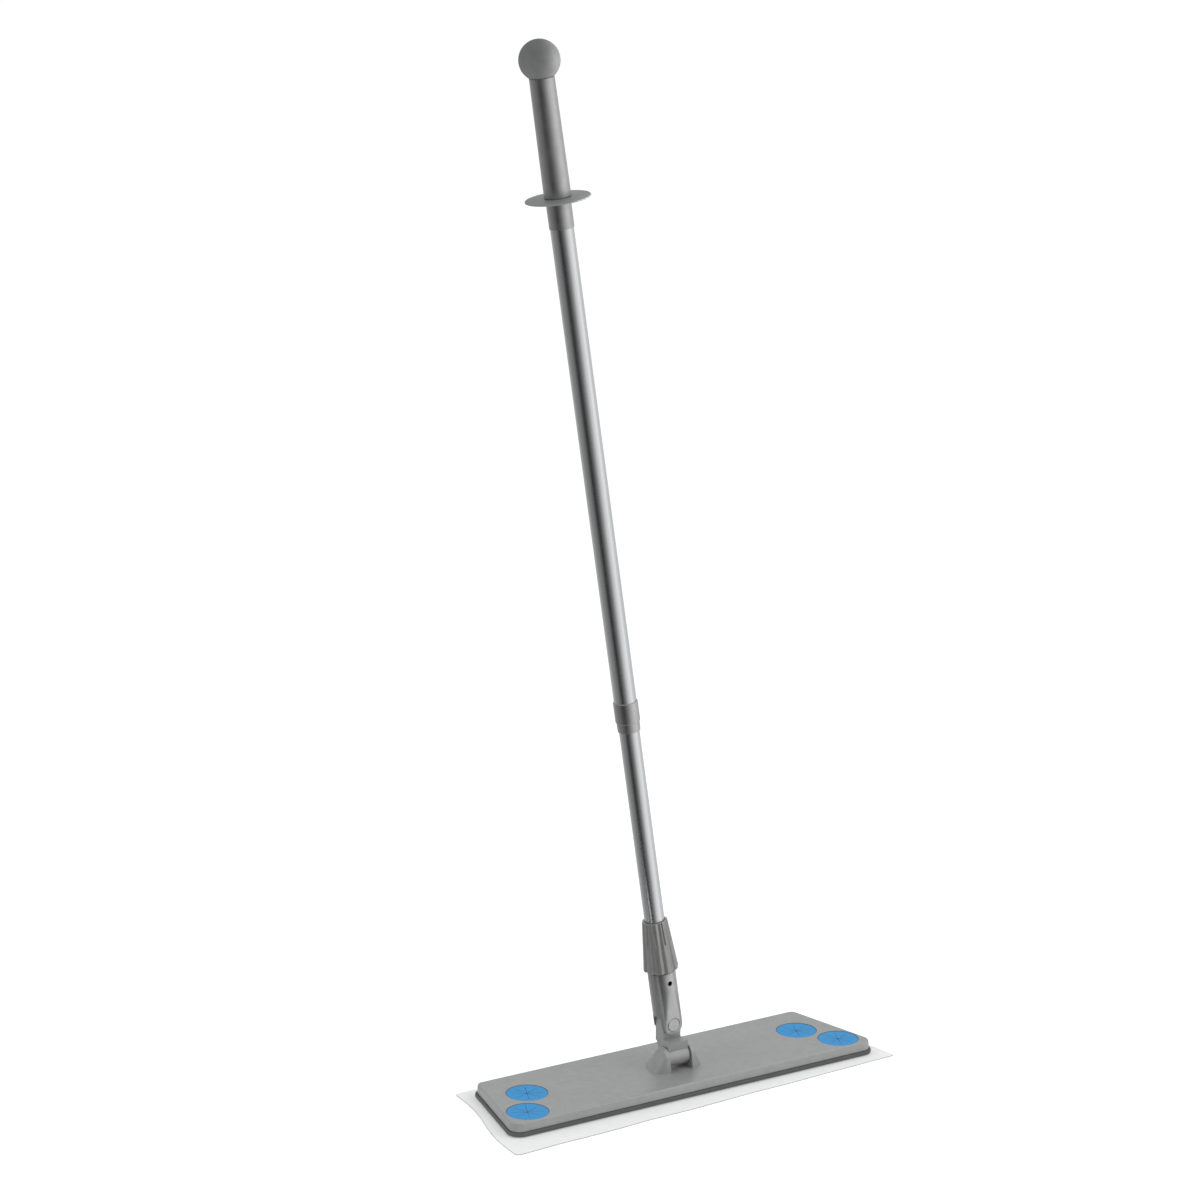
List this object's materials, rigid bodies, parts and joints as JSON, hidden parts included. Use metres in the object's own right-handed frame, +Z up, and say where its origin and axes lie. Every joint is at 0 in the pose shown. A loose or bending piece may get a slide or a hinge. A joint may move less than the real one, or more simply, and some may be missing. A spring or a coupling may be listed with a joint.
{
  "type": "flat mop",
  "caption": "Flat floor mop: trapezoid plate with soft cloth grippers and a loose wipe, two-axis joint, clamped telescopic pole, hand guard and ball knob.",
  "frame": {"origin": "on the floor under the middle of the plate", "axes": "+Z up; the long front edge of the plate faces -Y; the pole leans towards -X at rest"},
  "size_m": [0.4212, 0.1496, 0.9558],
  "materials": {
    "shell_grey": "fine moulded satin",
    "joint_grey": "moulded satin",
    "nut_grey": "moulded matt",
    "grip_grey": "moulded satin",
    "trim_dark": "matt foam rubber",
    "gripper_blue": "soft satin rubber",
    "wipe_white": "nonwoven",
    "tube_alloy": "bright drawn",
    "pin_steel": "bright",
    "liner_white": "acetal"
  },
  "bodies": {
    "plate": {"plate_shell": "shell_grey", "sole_pad": "trim_dark", "base_panel": "liner_white", "wipe": "wipe_white", "gripper_front_left": "gripper_blue", "gripper_front_right": "gripper_blue", "gripper_back_left": "gripper_blue", "gripper_back_right": "gripper_blue", "axle_pin": "pin_steel"},
    "knuckle": {"knuckle": "joint_grey"},
    "neck": {"neck": "joint_grey", "swivel_pin": "joint_grey", "swivel_clip": "pin_steel", "collet": "liner_white"},
    "nut_slip": {"thrust_ring": "liner_white"},
    "nut": {"lock_nut": "nut_grey"},
    "pole": {"lower_tube": "tube_alloy", "lock_plug": "liner_white"},
    "cam": {"lock_cam": "liner_white"},
    "slider": {"guide_bush": "liner_white"},
    "upper": {"upper_tube": "tube_alloy", "collar": "grip_grey", "hand_guard": "grip_grey", "grip": "grip_grey", "top_plug": "liner_white"},
    "knob": {"ball_knob": "grip_grey", "knob_stem": "pin_steel", "stem_clip": "pin_steel"}
  },
  "joints": [
    {"name": "pitch", "type": "hinge", "parent": "plate", "child": "knuckle", "pos_m": [0, -0.0098, 0.025], "axis": [1, 0, 0], "range_deg": [-60, 80]},
    {"name": "tilt", "type": "hinge", "parent": "knuckle", "child": "neck", "pos_m": [0, 0.002, 0.0542], "axis": [0, 1, 0], "range_deg": [-71.4, 88.6]},
    {"name": "nut_travel", "type": "slide", "parent": "neck", "child": "nut_slip", "axis": [-0.1495, 0, 0.9888], "range_m": [0, 0.0045]},
    {"name": "nut_turn", "type": "hinge", "parent": "nut_slip", "child": "nut", "pos_m": [-0.01196, 0.002, 0.1333], "axis": [-0.1495, 0, 0.9888], "range_deg": [0, 540]},
    {"name": "pole_pull", "type": "slide", "parent": "neck", "child": "pole", "axis": [-0.1495, 0, 0.9888], "range_m": [0, 0.045]},
    {"name": "telescope", "type": "slide", "parent": "pole", "child": "slider", "axis": [-0.1495, 0, 0.9888], "range_m": [0, 0.45]},
    {"name": "twist_lock", "type": "hinge", "parent": "slider", "child": "upper", "pos_m": [-0.04516, 0.002, 0.3528], "axis": [-0.1495, 0, 0.9888], "range_deg": [0, 110]},
    {"name": "cam_turn", "type": "hinge", "parent": "pole", "child": "cam", "pos_m": [-0.12442, 0.002, 0.87988], "axis": [-0.1495, 0, 0.9888], "range_deg": [0, 110]},
    {"name": "knob_spin", "type": "hinge", "parent": "upper", "child": "knob", "pos_m": [-0.13365, 0.002, 0.93795], "axis": [-0.1495, 0, 0.9888], "continuous": true}
  ],
  "couplings": [
    {"joint": "nut_travel", "follows": "nut_turn", "m_per_rad": 0.00047746},
    {"joint": "cam_turn", "follows": "twist_lock", "ratio": 1}
  ]
}
